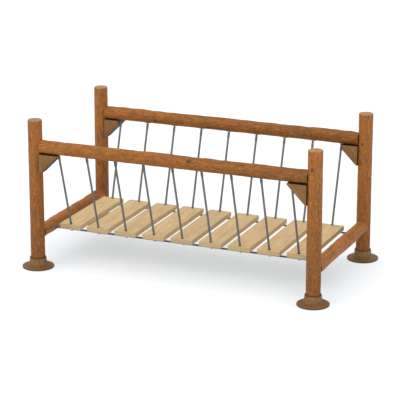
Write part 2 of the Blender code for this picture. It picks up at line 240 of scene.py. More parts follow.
# Eye plates, with their saddles and screws. A screw's head is round at its edge.
LUG_RADIUS = 0.010
LUG_THICKNESS = 0.006
LUG_ARRIS = 0.001
LUG_ROOT = 0.012
SADDLE_HALF_LENGTH = 0.024
SADDLE_HALF_ANGLE = 0.26
SADDLE_CORNER = 0.004
SADDLE_HEIGHT = 0.0022
SADDLE_EMBED = 0.005
SADDLE_ARRIS = 0.0008
SCREW_PLACE = 0.0165
SCREW_HEIGHT = 0.0022
SCREW_FLAT = 0.0030
SCREW_ROUND = 0.0020
SCREW_FOOT = (0.0048, 0.001)
SCREW_SIDES = 16

# Cables. Planks up to the last of the left chain sway with it, and the others with the right one.
LEFT_CHAIN_LAST = 5
CUT_GAP = 0.0015
CABLE_EMBED = 0.025
COLLAR_RADIUS = 0.012
COLLAR_NOSE_RADIUS = 0.72 * COLLAR_RADIUS
COLLAR_LENGTH = 0.0153
COLLAR_TAPER = 0.003
WASHER_RADIUS = 0.016
WASHER_THICKNESS = 0.003
WASHER_EMBED = 0.004
WASHER_BEVEL = 0.001

# How light each log comes out, at its start (low, left or front) and at its end. This is partly
# the log's own stain and partly painted shade: the posts are painted darker towards their feet,
# where the deck and beams shade them
STAIN_AND_SHADE = {"post_front_left": (0.66, 1.08), "post_front_right": (0.66, 1.10),
          "post_back_left": (0.55, 1.10), "post_back_right": (0.78, 1.09),
          "handrail_front": (1.08, 0.76), "handrail_back": (1.01, 0.67),
          "beam_left": (1.22, 0.88), "beam_right": (1.12, 1.02)}
PLANK_STAINS = (0.97, 1.09)

# Tones of the materials are a paint chart's, 0 to 255
RAIL_GRAIN = {"tones": ((124, 77, 27), (143, 87, 29), (160, 97, 35)), "ring_width": 0.0060,
              "ring_depth": 0.28, "fibre_depth": 0.38, "patch_scale": 16.0, "check_depth": 0.75,
              "mottle_depth": 0.24}
WOODS = {
    "post_wood": {"tones": ((134, 85, 37), (145, 89, 36), (156, 93, 37)), "end": (160, 122, 84),
                  "ring_width": 0.0055, "ring_depth": 0.26, "fibre_depth": 0.38,
                  "patch_scale": 22.0, "check_depth": 0.75, "mottle_depth": 0.28},
    # A handrail's end tone is end grain painted near black, partly painted shade for the seam where
    # it meets a post
    "rail_wood": {"end": (52, 24, 9), **RAIL_GRAIN},
    "beam_wood": {"end": (104, 60, 26), **RAIL_GRAIN},
    # A bracket's end tone is painted shade: its slope, top and post face are painted near black for
    # the shade under the slope and in the seams at the handrail and the post
    "bracket_wood": {"tones": ((108, 78, 40), (121, 87, 46), (132, 96, 52)), "end": (50, 25, 10),
                     "ring_width": 0.0045, "ring_depth": 0.22, "fibre_depth": 0.32,
                     "patch_scale": 14.0, "check_depth": 0.0, "mottle_depth": 0.08},
    "plank_wood": {"tones": ((176, 148, 104), (188, 160, 118), (198, 170, 128)),
                   "end": (188, 160, 118), "ring_width": 0.0060, "ring_depth": 0.18,
                   "fibre_depth": 0.16, "patch_scale": 12.0, "check_depth": 0.35,
                   "mottle_depth": 0.05}}
STEELS = {
    "rope_steel": {"dark": (95, 93, 89), "light": (121, 118, 113), "metallic": 0.30, "wires": True},
    # The cables' steel is a darker copy of the rope's, as painted shade from the deck above them
    "cable_steel": {"dark": (58, 56, 58), "light": (80, 78, 80), "metallic": 0.30, "wires": True},
    "fitting_steel": {"dark": (78, 80, 83), "light": (108, 110, 113), "metallic": 0.45,
                      "wires": False},
    "eye_steel": {"dark": (150, 152, 155), "light": (182, 184, 187), "metallic": 0.60,
                  "wires": False}}
# Tone grime is painted shade, on the lip and the rim's side
FOOT_PAINT = {"base": (104, 69, 28), "worn": (142, 112, 76), "dust": (114, 78, 36),
              "grime": (58, 30, 8)}

# Noises of the wood: how much a step along the trunk counts, scale, detail and roughness. The
# rays out from the pith have no such share.
STIR = (0.22, 16.0, 2.0, 0.5)
FIBRES = (0.035, 260.0, 5.0, 0.65)
STREAKS = (0.05, 60.0, 3.0, 0.6)
HUES = (0.10, 42.0, 2.0, 0.6)
MOTTLES = (0.55, 62.0, 2.0, 0.6)
CHECKS = (0.022, 26.0, 1.0, 0.4)
RAYS = (3.0, 1.0, 0.4)
STIR_SIZE = 0.016

# Where the stain's tones stand, what its hues multiply it by, and how light rings, fibres and
# knots are
STAIN_PLACES = (0.36, 0.50, 0.64)
HUE_STOPS = ((0.36, (0.93, 1.01, 1.02, 1.0)), (0.64, (1.08, 0.98, 0.92, 1.0)))
RING_STOPS = ((0.0, 1.0), (0.55, 0.93), (0.86, 0.25), (1.0, 0.9))
FIBRE_STOPS = ((0.30, 0.35), (0.52, 1.0))
END_STOPS = ((0.3, 0.6), (0.7, 1.0))
KNOT_STOPS = ((0.12, 1.0), (0.42, 0.72), (0.60, 0.38), (0.80, 0.52))
CHECK_TONE = 0.012

# Wires of a rope: how many lie across a strand, and their slant for a metre along it
STRAND_WIRES = 7.0
WIRE_SLANT = 330.0
# Painted shade in the grooves between wires, rising to full tone on the wires
WIRE_STOPS = ((0.0, 0.35), (0.6, 1.0))


# Places read from the frame

def middle_of(node):
    """The middle of a node's box."""
    return [(low + high) / 2 for low, high in zip(*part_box(node))]


def half_of(node):
    """Half the size of a node's box."""
    return [(high - low) / 2 for low, high in zip(*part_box(node))]


# The box of the CAD's facetted beam is a little less than its diameter. Hangers run from the
# handrail's axis to the cable, and lean by this angle from upright.
PLANK_COUNT = sum(name.startswith("plank_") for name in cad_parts)
PLANK_X = [middle_of(f"plank_{number}")[0] for number in range(1, PLANK_COUNT + 1)]
PLANK_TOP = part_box("plank_1")[1].z
POST_RADIUS = half_of("post_back_right")[0]
BEAM_X = middle_of("beam_right")[0]
FACET_SHARE = math.cos(math.pi / LOG_FACETS)
LOG_RADIUS = half_of("beam_right")[2] / FACET_SHARE
RAIL_Y = middle_of("post_back_right")[1]
RAIL_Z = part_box("handrail_back")[1].z - LOG_RADIUS * FACET_SHARE
CABLE_Y, CABLE_Z = middle_of("cable_back")[1:]
LEAN = math.atan2(RAIL_Y - CABLE_Y, RAIL_Z - CABLE_Z)
HANGER_SPAN = math.hypot(RAIL_Y - CABLE_Y, RAIL_Z - CABLE_Z)


# Surfaces on grids

def grid_quads(rows, columns, keep=None):
    """Corner numbers of a grid's quads. A quad faces along column direction x row direction."""
    row, column = np.meshgrid(np.arange(rows - 1), np.arange(columns - 1), indexing="ij")
    if keep is not None:
        row, column = row[keep], column[keep]
    corner = row * columns + column
    return np.stack([corner, corner + 1, corner + columns + 1, corner + columns], -1).reshape(-1, 4)


def xyz(x, y, z):
    """Points or vectors from their three coordinates, each spread over the shape of all."""
    return np.stack(np.broadcast_arrays(x, y, z), -1)


def patch(points, keep=None, flip=False, **layers):
    """A grid of points (rows, columns, 3) as a patch of surface. Each layer is a number or a
    vector, for each point or for many of them."""
    rows, columns = points.shape[:2]
    quads = grid_quads(rows, columns, keep)
    if flip:
        quads = quads[:, ::-1]
    flat = {}
    for name, layer in layers.items():
        full = np.broadcast_to(layer, (rows, columns) + np.shape(layer)[2:])
        flat[name] = full.reshape(rows * columns, -1)
    return points.reshape(-1, 3), quads, flat


def welded(patches):
    """Patches joined where their points meet. A quad with two neighbouring corners on one point
    becomes a triangle, and one with fewer than three points goes."""
    points = np.concatenate([part[0] for part in patches])
    starts = np.cumsum([0] + [len(part[0]) for part in patches])
    quads = np.concatenate([part[1] + start for part, start in zip(patches, starts)])
    layers = {name: np.concatenate([part[2][name] for part in patches]) for name in patches[0][2]}
    used = np.unique(quads)
    renumber = np.full(len(points), -1)
    renumber[used] = np.arange(len(used))
    keys = np.floor(points[used] / WELD + WELD_PHASE).astype(np.int64)
    _, first, inverse = np.unique(keys, axis=0, return_index=True, return_inverse=True)
    quads = inverse.reshape(-1)[renumber[quads]]
    meets_next = quads == np.roll(quads, -1, 1)
    meetings = meets_next.sum(1)
    corner = meets_next[meetings == 1].argmax(1)
    kept_corners = (corner[:, None] + np.array([1, 2, 3])) % 4
    triangles = np.take_along_axis(quads[meetings == 1], kept_corners, 1)
    kept = used[first]
    kept_layers = {name: layer[kept] for name, layer in layers.items()}
    return points[kept], quads[meetings == 0], triangles, kept_layers


def make_mesh(name, patches, sharp_angle):
    """A mesh of the welded patches, smooth but for edges past the sharp angle. Each layer becomes
    an attribute of its points."""
    points, quads, triangles, layers = welded(patches)
    mesh = bpy.data.meshes.new(name)
    mesh.vertices.add(len(points))
    mesh.vertices.foreach_set("co", points.astype(np.float32).ravel())
    mesh.loops.add(quads.size + triangles.size)
    mesh.loops.foreach_set("vertex_index", np.concatenate([quads.ravel(), triangles.ravel()]))
    mesh.polygons.add(len(quads) + len(triangles))
    starts = np.concatenate([np.arange(len(quads)) * 4,
                             quads.size + np.arange(len(triangles)) * 3])
    mesh.polygons.foreach_set("loop_start", starts)
    mesh.update(calc_edges=True)
    for layer, values in layers.items():
        kind, key = ("FLOAT_VECTOR", "vector") if values.shape[1] == 3 else ("FLOAT", "value")
        attribute = mesh.attributes.new(layer, kind, "POINT")
        attribute.data.foreach_set(key, values.astype(np.float32).ravel())
    mesh.shade_smooth()
    mesh.set_sharp_from_angle(angle=sharp_angle)
    return mesh


def add_object(name, data):
    """An object with this data, linked to the scene."""
    thing = bpy.data.objects.new(name, data)
    bpy.context.scene.collection.objects.link(thing)
    return thing


def add_piece(name, patches, material, nodes, sharp_angle=SHARP):
    """A piece of the bridge, which stands for the CAD nodes and takes the given material."""
    piece = add_object(name, make_mesh(name, patches, sharp_angle))
    piece.data.materials.append(material)
    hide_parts(*nodes)
    return piece


def placed(points, origin, up_axis=(0, 0, 1), side_axis=(1, 0, 0)):
    """Points whose local Z lies along up_axis and local X along side_axis, from the origin."""
    up = np.array(up_axis, float)
    side = np.array(side_axis, float)
    axes = np.array([side, np.cross(up, side), up])
    return points @ axes + np.array(origin, float)


def turned(profile, sides):
    """A turned surface: at each (radius, height) of the profile, radius times (cos, sin) of the
    angle, and the height. The profile starts on the axis below and goes up its outer side."""
    profile = np.array(profile, float)
    angle = np.linspace(0, 2 * np.pi, sides + 1)
    radius, height = profile[:, 0, None], profile[:, 1, None]
    return xyz(radius * np.cos(angle), radius * np.sin(angle), height)


def quarter(centre, radius, start, stop, steps=ARC_POINTS):
    """Points on an arc about the centre, from one angle to another, in degrees."""
    angle = np.radians(np.linspace(start, stop, steps))
    return [(centre[0] + radius * c, centre[1] + radius * s)
            for c, s in zip(np.cos(angle), np.sin(angle))]


def rounded_outline(half_x, half_y, radius):
    """The outline of a rectangle with round corners, anticlockwise."""
    outline = []
    for sign_x, sign_y, start in ROUND_CORNERS:
        centre = (sign_x * (half_x - radius), sign_y * (half_y - radius))
        outline += quarter(centre, radius, start, start + 90, SMALL_ARC_POINTS)
    return outline


def slab(outline, thickness, arris):
    """A plate: its outline, in local XY, is pulled in along its own normals by the arris at both
    faces, in a quarter round, and each face closes on the outline's middle."""
    outline = np.array(outline, float)
    run = np.roll(outline, -1, 0) - np.roll(outline, 1, 0)
    normal = np.stack([run[:, 1], -run[:, 0]], -1) / np.linalg.norm(run, axis=1)[:, None]
    angle = np.linspace(0, np.pi / 2, SMALL_ARC_POINTS)
    inset = arris * (1 - np.sin(angle))
    height = arris * (1 - np.cos(angle)) - thickness / 2
    insets = np.concatenate([inset, inset[::-1]])
    levels = np.concatenate([height[:1], height, -height[::-1], -height[:1]])
    ring = outline[None] - normal[None] * insets[:, None, None]
    middle = np.broadcast_to(outline.mean(0), (1,) + outline.shape)
    plane = np.concatenate([middle, ring, middle])
    points = xyz(plane[..., 0], plane[..., 1], levels[:, None])
    return np.concatenate([points, points[:, :1]], 1)


def ripples(rng, around, along, waves, turns, lengths):
    """A sum of cosines, each turning a whole number of times round and running along, scaled so
    that its mean square is 1."""
    total = 0 * around * along
    for _ in range(waves):
        turn = rng.integers(*turns)
        length = rng.uniform(*lengths)
        phase = rng.uniform(0, 2 * np.pi)
        total = total + np.cos(turn * around + 2 * np.pi * along / length + phase)
    return total / math.sqrt(waves / 2)


# Materials

def tone(red, green, blue):
    """A paint chart's colour, 0 to 255 each, as linear light."""
    share = np.array([red, green, blue]) / 255.0
    light = np.where(share <= 0.04045, share / 12.92, ((share + 0.055) / 1.055) ** 2.4)
    return (*light.tolist(), 1.0)


def grey(value):
    """A grey of linear light."""
    return (value, value, value, 1.0)


class Tree:
    """Adds nodes to a material, and feeds sockets or plain values to their inputs. A method that
    adds a node returns its output."""

    def __init__(self, name):
        self.material = bpy.data.materials.new(name)
        self.material.use_nodes = True
        self.nodes = self.material.node_tree.nodes
        self.links = self.material.node_tree.links
        self.shader = self.nodes["Principled BSDF"]

    def add(self, kind, inputs, output=0, **settings):
        """A node of a kind. Its inputs are named by number where Blender repeats a name."""
        node = self.nodes.new(kind)
        for key, value in settings.items():
            setattr(node, key, value)
        for key, value in inputs.items():
            self.feed(node.inputs[key], value)
        return node.outputs[output]

    def feed(self, socket, value):
        """A link to the socket, or a value that is the same all over."""
        if isinstance(value, bpy.types.NodeSocket):
            self.links.new(value, socket)
        else:
            socket.default_value = value

    def place(self):
        """The place in the object's own coordinates."""
        return self.add("ShaderNodeTexCoord", {}, "Object")

    def attribute(self, name, output="Fac"):
        """A layer of the mesh, as a number, or as a vector with output Vector."""
        return self.add("ShaderNodeAttribute", {}, output, attribute_name=name)

    def maths(self, operation, first, second=0.0, clamp=False):
        """An operation on numbers."""
        return self.add("ShaderNodeMath", {0: first, 1: second}, operation=operation,
                        use_clamp=clamp)

    def vectors(self, operation, first, second=(0.0, 0.0, 0.0), output="Vector"):
        """An operation on vectors."""
        return self.add("ShaderNodeVectorMath", {0: first, 1: second}, output,
                        operation=operation)

    def scaled(self, value, size):
        """A number multiplied by another."""
        return self.maths("MULTIPLY", value, size)

    def times(self, first, second):
        """Two vectors or colours multiplied."""
        return self.vectors("MULTIPLY", first, second)

    def noise(self, vector, scale, detail=3.0, roughness=0.5, output="Fac"):
        """Noise about a half."""
        return self.add("ShaderNodeTexNoise", {"Vector": vector, "Scale": scale, "Detail": detail,
                                               "Roughness": roughness}, output)

    def drawn(self, vector, along, scale, detail, roughness, output="Fac"):
        """Noise drawn out along Z, where a step counts for less."""
        return self.noise(self.times(vector, (1.0, 1.0, along)), scale, detail, roughness, output)

    def ramp(self, factor, stops):
        """Colours, or greys given as one number, that follow the factor from stop to stop."""
        socket = self.add("ShaderNodeValToRGB", {0: factor})
        elements = socket.node.color_ramp.elements
        while len(elements) < len(stops):
            elements.new(0.5)
        for element, (place, colour) in zip(elements, stops):
            element.position = place
            element.color = grey(colour) if isinstance(colour, float) else colour
        return socket

    def spread(self, value, low, high, to_low=0.0, to_high=1.0):
        """The range from low to high moved onto another, and held at its ends."""
        return self.add("ShaderNodeMapRange", {0: value, 1: low, 2: high, 3: to_low, 4: to_high})

    def mix(self, factor, first, second, blend="MIX"):
        """Two colours mixed, or the first darkened by the second with blend MULTIPLY."""
        return self.add("ShaderNodeMix", {0: factor, 6: first, 7: second}, 2,
                        data_type="RGBA", blend_type=blend)

    def near_middle(self, value, low, high):
        """1 where a noise is within low of a half, falling to 0 at high."""
        gap = self.maths("ABSOLUTE", self.maths("SUBTRACT", value, 0.5))
        return self.spread(gap, low, high, 1.0, 0.0)

    def bump(self, height, distance, strength):
        """Relief of the height, fed to the shader."""
        normal = self.add("ShaderNodeBump", {"Height": height, "Distance": distance,
                                             "Strength": strength})
        self.feed(self.shader.inputs["Normal"], normal)

    def finish(self, colour, roughness):
        """The material with its colour and roughness."""
        self.feed(self.shader.inputs["Base Color"], colour)
        self.feed(self.shader.inputs["Roughness"], roughness)
        return self.material


def wood_material(name, tones, end, ring_width, ring_depth, fibre_depth, patch_scale, check_depth,
                  mottle_depth):
    """Wood in the tree's own coordinates: attribute grain holds the distances from the pith
    across and along the trunk. Growth rings are the distance from the pith over the ring width,
    stirred by noise. Fibres are noise drawn out along the trunk, and so are the streaks, which go
    from olive to red. Patches of stain are slow noise, and mottles are quicker. Drying checks are
    the thin lines where a noise passes its middle: along the trunk on its side, and out from the
    pith on its end.
    Attribute end is 1 where the end tone goes: on sawn end grain, and as painted shade on a
    bracket's slope, top and post face. Knot rises to 1 in the middle of a knot, and stain is how
    light the piece comes out: its own tone, and on the logs painted shade as well."""
    tree = Tree(name)
    grain = tree.attribute("grain", "Vector")
    # Where the end tone goes: sawn end grain, and painted shade on a bracket's slope, top and post
    # face
    sawn = tree.attribute("end")
    stir = tree.vectors("SUBTRACT", tree.drawn(grain, *STIR, "Color"), (0.5, 0.5, 0.5))
    stirred = tree.vectors("ADD", grain, tree.times(stir, (STIR_SIZE, STIR_SIZE, 0.0)))
    flat = tree.times(stirred, (1.0, 1.0, 0.0))
    distance = tree.vectors("LENGTH", flat, output="Value")
    ring = tree.maths("FRACT", tree.maths("DIVIDE", distance, ring_width))
    ring_line = tree.ramp(ring, RING_STOPS)
    fibres = tree.drawn(stirred, *FIBRES)
    streaks = tree.drawn(stirred, *STREAKS)
    patches = tree.drawn(grain, 0.45, patch_scale, 3.0, 0.55)

    blend = tree.maths("ADD", tree.scaled(patches, 0.40), tree.scaled(streaks, 0.60))
    stops = [(place, tone(*colour)) for place, colour in zip(STAIN_PLACES, tones)]
    stain = tree.ramp(blend, stops)
    hued = tree.times(stain, tree.ramp(tree.drawn(stirred, *HUES), HUE_STOPS))
    ringed = tree.mix(ring_depth, hued, ring_line, "MULTIPLY")
    fibred = tree.mix(fibre_depth, ringed, tree.ramp(fibres, FIBRE_STOPS), "MULTIPLY")
    mottle = tree.spread(tree.drawn(stirred, *MOTTLES), 0.32, 0.68, 1 - mottle_depth,
                         1 + mottle_depth)
    side_colour = tree.times(fibred, mottle)
    end_ringed = tree.mix(0.45, tone(*end), ring_line, "MULTIPLY")
    end_colour = tree.mix(0.5, end_ringed, tree.ramp(streaks, END_STOPS), "MULTIPLY")
    colour = tree.mix(sawn, side_colour, end_colour)
    knotted = tree.times(colour, tree.ramp(tree.attribute("knot"), KNOT_STOPS))

    side_line = tree.near_middle(tree.drawn(stirred, *CHECKS), 0.002, 0.009)
    side_depth = tree.spread(patches, 0.50, 0.60, 0.0, check_depth)
    outward = tree.vectors("ADD", tree.vectors("NORMALIZE", flat),
                           tree.times(grain, (0.0, 0.0, 0.37)))
    end_line = tree.near_middle(tree.noise(outward, *RAYS), 0.004, 0.016)
    end_depth = tree.spread(distance, 0.018, 0.046, check_depth, 0.0)
    split = tree.spread(sawn, 0.0, 1.0, tree.scaled(side_line, side_depth),
                        tree.scaled(end_line, end_depth))
    cracked = tree.mix(split, knotted, grey(CHECK_TONE))

    relief = tree.maths("ADD", tree.scaled(fibres, 0.6), tree.scaled(ring, -0.4))
    tree.bump(tree.maths("SUBTRACT", relief, tree.scaled(split, 1.5)), 0.0012, 0.55)
    tree.shader.inputs["Specular IOR Level"].default_value = 0.25
    # Layer stain: each piece's own tone, and on the logs painted shade as well
    return tree.finish(tree.times(cracked, tree.attribute("stain", "Vector")),
                       tree.spread(fibres, 0.3, 0.7, 0.68, 0.52))


def paint_material(name, base, worn, dust, grime):
    """Satin paint: slow noise moves it between two tones and fine noise breaks the gloss.
    Attribute wear shows where edges have rubbed, and attribute grime is where painted shade darkens
    the paint, broken up by fine noise."""
    tree = Tree(name)
    place = tree.place()
    cloud = tree.noise(place, 14.0, 4.0, 0.6)
    fine = tree.noise(place, 420.0, 3.0, 0.6)
    painted = tree.mix(tree.spread(cloud, 0.35, 0.68), tone(*base), tone(*dust))
    rubbed = tree.spread(tree.noise(place, 60.0, 4.0, 0.7), 0.40, 0.62)
    edge = tree.maths("MULTIPLY", tree.attribute("wear"), rubbed, clamp=True)
    speckle = tree.spread(fine, 0.25, 0.6, 0.75, 1.0)
    shaded = tree.maths("MULTIPLY", tree.attribute("grime"), speckle, clamp=True)
    soiled = tree.mix(shaded, tree.mix(edge, painted, tone(*worn)), tone(*grime))
    tree.bump(fine, 0.0005, 0.35)
    tree.shader.inputs["Specular IOR Level"].default_value = 0.3
    return tree.finish(soiled, tree.spread(cloud, 0.3, 0.7, 0.46, 0.62))


def steel_material(name, dark, light, metallic, wires):
    """Galvanised steel: noise moves it between two tones. On a rope, attribute lay holds the
    place round a strand and along it, and slanted waves of it are the wires, with painted shade
    darkening the grooves between them."""
    tree = Tree(name)
    place = tree.place()
    cloud = tree.noise(place, 70.0, 4.0, 0.65)
    colour = tree.ramp(cloud, [(0.35, tone(*dark)), (0.68, tone(*light))])
    if wires:
        lay = tree.add("ShaderNodeSeparateXYZ", {0: tree.attribute("lay", "Vector")}).node
        phase = tree.maths("ADD", tree.scaled(lay.outputs["X"], STRAND_WIRES),
                           tree.scaled(lay.outputs["Y"], WIRE_SLANT))
        wave = tree.maths("SINE", tree.scaled(phase, 2 * math.pi))
        groove = tree.spread(wave, -1.0, 0.2)
        colour = tree.mix(0.55, colour, tree.ramp(groove, WIRE_STOPS), "MULTIPLY")
        tree.bump(groove, 0.0005, 0.6)
    else:
        tree.bump(tree.noise(place, 900.0, 2.0), 0.0003, 0.3)
    tree.shader.inputs["Metallic"].default_value = metallic
    return tree.finish(colour, tree.spread(cloud, 0.3, 0.7, 0.36, 0.56))


# Logs

def log_profile(length, radius, arris):
    """How far out and how far along each row of a log is. Rows go from the middle of one end,
    over its arris, along the side and over the other arris to the middle of the far end."""
    face = (radius - arris) * np.linspace(0.0, 1.0, ARC_POINTS)
    turn = np.linspace(0, np.pi / 2, ARC_POINTS)[1:]
    end_out = np.concatenate([face, radius - arris + arris * np.sin(turn)])
    end_along = np.concatenate([0 * face, arris * (1 - np.cos(turn))])
    side = np.linspace(arris, length - arris, round(length / LOG_STEP))[1:-1]
    out = np.concatenate([end_out, np.full(len(side), radius), end_out[::-1]])
    return out, np.concatenate([end_along, side, length - end_along[::-1]])


def log_knots(rng, around, along, radius, length):
    """Three layers of a log: how high its knots stand, how much they widen its rings, and the
    knots themselves. Each is a bell curve exp(-a squared) of the distance a from a knot's middle
    over its size. A knot stands in a hollow, which is half as much and 2.2 times as wide. The
    widening is 1.3 times as wide, and the knot itself 1.3 times narrower."""
    height, rings, knot = 0.0, 0.0, 0.0
    for _ in range(max(FEWEST_KNOTS, round(length * KNOTS_PER_METRE))):
        middle_along = rng.uniform(*KNOT_PLACES) * length
        middle_around = rng.uniform(0, 2 * np.pi)
        size = rng.uniform(*KNOT_SIZES)
        turn = (around - middle_around + np.pi) % (2 * np.pi) - np.pi
        away = np.hypot(turn * radius, (along - middle_along) * KNOT_STRETCH) / size
        height = height + np.exp(-away ** 2) - 0.5 * np.exp(-(away / 2.2) ** 2)
        rings = rings + KNOT_RINGS * np.exp(-(away / 1.3) ** 2)
        knot = np.maximum(knot, np.exp(-(away * 1.3) ** 2))
    return height, rings, knot


def wander(along, waves, phases):
    """How far the pith is off the axis: a slow sine along the log and half of a quicker one."""
    slow, quick = (np.sin(wave * along + phase) for wave, phase in zip(waves, phases))
    return PITH_WANDER * (slow + 0.5 * quick)


def log_patch(length, radius, arris, swell_size, bump_size, most, inset, seed):
    """A log along local Z from its start. The radius is a cylinder's less the inset, with slow
    swells, quicker bumps and knots, all calmer on the local -Y side, where fittings sit, and
    never past the most given.
    Layer grain is the distance from a pith that wanders along the log, as (across, across,
    along). Layer end is 1 on both ends, and layer knot is the knots."""
    rng = np.random.default_rng(seed)
    out, along = log_profile(length, radius, arris)
    u, s = np.linspace(0, 2 * np.pi, LOG_SIDES + 1)[None, :], along[:, None]
    swell = ripples(rng, u, s, *SWELL_WAVES) * swell_size
    swell = swell + ripples(rng, u, s, *BUMP_WAVES) * bump_size
    height, rings, knot = log_knots(rng, u, s, radius, length)
    swell = swell + KNOT_HEIGHT * bump_size * height
    swell = swell * (1 - CALM_SIDE * np.maximum(0.0, -np.sin(u)) ** 2)
    r = out[:, None] * (1 + (np.clip(swell, -most, most) - inset) / radius)
    points = xyz(r * np.cos(u), r * np.sin(u), s)
    phases = rng.uniform(0, 2 * np.pi, 4)
    pith_x, pith_y = wander(s, PITH_WAVES[0], phases[:2]), wander(s, PITH_WAVES[1], phases[2:])
    spread = 1 + rings / radius + TRUNK_TAPER * s
    grain = xyz(points[..., 0] * spread - pith_x, points[..., 1] * spread - pith_y,
                s + LOG_STRETCH * seed)
    end = np.zeros((len(along), 1))
    end[:END_ROWS] = end[-END_ROWS:] = 1.0
    return points, {"grain": grain, "end": end, "knot": knot * (1 - end)}


def log_piece(node, length, log, material, slot, underside=0.0, **place):
    """A log with a lightness of its own, partly stain and partly painted shade, which goes from one
    lightness to another along it, and painted shade makes the underside of a level log a little
    darker."""
    points, layers = log_patch(length, **log)
    start, stop = STAIN_AND_SHADE[node]
    # Painted shade with the log's own stain: lighter or darker from one end of the log to the other
    stain = start + (stop - start) * points[..., 2] / length
    points = placed(points, **place)
    # Painted shade on the underside of a level log
    below = np.clip((place["origin"][2] - points[..., 2]) / log["radius"], 0.0, 1.0)
    stain = stain * (1 - underside * below)
    log_object = add_piece(f"log_{node}", [patch(points, stain=stain, **layers)], material,
                           [node])
    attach(log_object, "frame")


def make_posts(wood):
    """Four upright logs, which keep inside the CAD's posts."""
    for number, corner in enumerate(CORNERS):
        node = f"post_{corner}"
        low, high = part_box(node)
        log = {"radius": half_of(node)[0], "arris": POST_ARRIS, "swell_size": POST_SWELL,
               "bump_size": POST_BUMPS, "most": POST_INSET, "inset": POST_INSET,
               "seed": POST_SEED + number}
        log_piece(node, high.z - low.z, log, wood, "post_wood",
                  origin=(*middle_of(node)[:2], low.z))


def level_log(seed):
    """A handrail's or a cross beam's sizes."""
    return {"radius": LOG_RADIUS, "arris": LOG_ARRIS, "swell_size": LOG_SWELL,
            "bump_size": LOG_BUMPS, "most": LOG_MOST, "inset": 0.0, "seed": seed}


def make_handrails(wood):
    """Logs from left to right, with their calm side down, where the eye plates are."""
    for number, side in enumerate(SIDES):
        node = f"handrail_{side}"
        low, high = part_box(node)
        log_piece(node, high.x - low.x, level_log(RAIL_SEED + number), wood, "rail_wood",
                  UNDERSIDE_SHADE, origin=(low.x, RAIL_Y * SIDES[side], RAIL_Z), up_axis=(1, 0, 0),
                  side_axis=(0, 1, 0))


def make_beams(wood):
    """Logs from front to back, with their calm side inwards, where the cables end."""
    for number, end in enumerate(ENDS):
        node = f"beam_{end}"
        low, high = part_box(node)
        x, _, z = middle_of(node)
        log_piece(node, high.y - low.y, level_log(BEAM_SEED + number), wood, "beam_wood",
                  origin=(x, low.y, z), up_axis=(0, 1, 0), side_axis=(0, 0, ENDS[end]))


# Feet

def foot_profile(radius, height, post_radius):
    """From the middle of the underside out to the rim, up over the flange, which rises as a power
    of the way in, up the collar, over the lip and down inside the socket to its floor. The lip's
    band of painted shade starts between two rows close together on the collar."""
    socket = post_radius + SOCKET_FIT
    rim = radius - FOOT_ARRIS
    slope = math.degrees(math.atan2(COLLAR_BASE_RADIUS - COLLAR_TOP_RADIUS, height - FOOT_RIM))
    fillet_x = COLLAR_BASE_RADIUS + FOOT_FILLET
    profile = [(0.0, 0.0), (radius / 2, 0.0), (rim, 0.0)]
    profile += quarter((rim, FOOT_ARRIS), FOOT_ARRIS, -90, 0)
    profile += quarter((rim, FOOT_EDGE - FOOT_ARRIS), FOOT_ARRIS, 0, 85)
    flat = np.linspace(rim - FOOT_ARRIS, fillet_x + FOOT_FILLET, FLANGE_POINTS)
    way_in = (rim - flat) / (rim - fillet_x)
    profile += list(zip(flat, FOOT_EDGE + (FOOT_RIM - FOOT_EDGE) * way_in ** FLANGE_CURVE))
    profile += quarter((fillet_x, FOOT_RIM + FOOT_FILLET), FOOT_FILLET, 270, 180 - slope, 7)
    lip = quarter((COLLAR_TOP_RADIUS - FOOT_ARRIS, height - FOOT_ARRIS), FOOT_ARRIS, slope, 90)
    (low_reach, low_level), (high_reach, high_level) = profile[-1], lip[0]
    for level in (height - 1.2 * LIP_BAND, height - LIP_BAND):
        share = (level - low_level) / (high_level - low_level)
        profile.append((low_reach + (high_reach - low_reach) * share, level))
    profile += lip
    profile += [(socket + LIP_CHAMFER, height), (socket, height - 2 * LIP_CHAMFER),
                (socket, FOOT_FLOOR), (0.0, FOOT_FLOOR)]
    return np.array(profile)


def make_feet(paint):
    """Turned feet, rubbed on the collar and the rim's top, with painted shade on the lip and on the
    rim's side."""
    for corner in CORNERS:
        node = f"foot_{corner}"
        radius, height = half_of(node)[0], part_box(node)[1].z
        profile = foot_profile(radius, height, POST_RADIUS)
        reach, level = profile[:, :1], profile[:, 1:]
        rim = reach > radius - 1.5 * FOOT_ARRIS
        rim_top = level > FOOT_EDGE - FOOT_ARRIS / 2
        lip = level > height - 1.1 * LIP_BAND
        collar = ~lip & (level > FOOT_RIM + FOOT_FILLET / 2)
        wear = np.where(rim & rim_top, RIM_WEAR, np.where(collar, COLLAR_WEAR, 0.0))
        # Painted shade on the lip and along the rim's side
        grime = np.where(lip, LIP_SHADE, np.where(rim & ~rim_top, RIM_SHADE, 0.0))
        points = placed(turned(profile, FOOT_SIDES), (*middle_of(node)[:2], 0))
        foot = add_piece(f"turned_{node}", [patch(points, wear=wear, grime=grime)], paint,
                         [node])
        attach(foot, "frame")


# Brackets

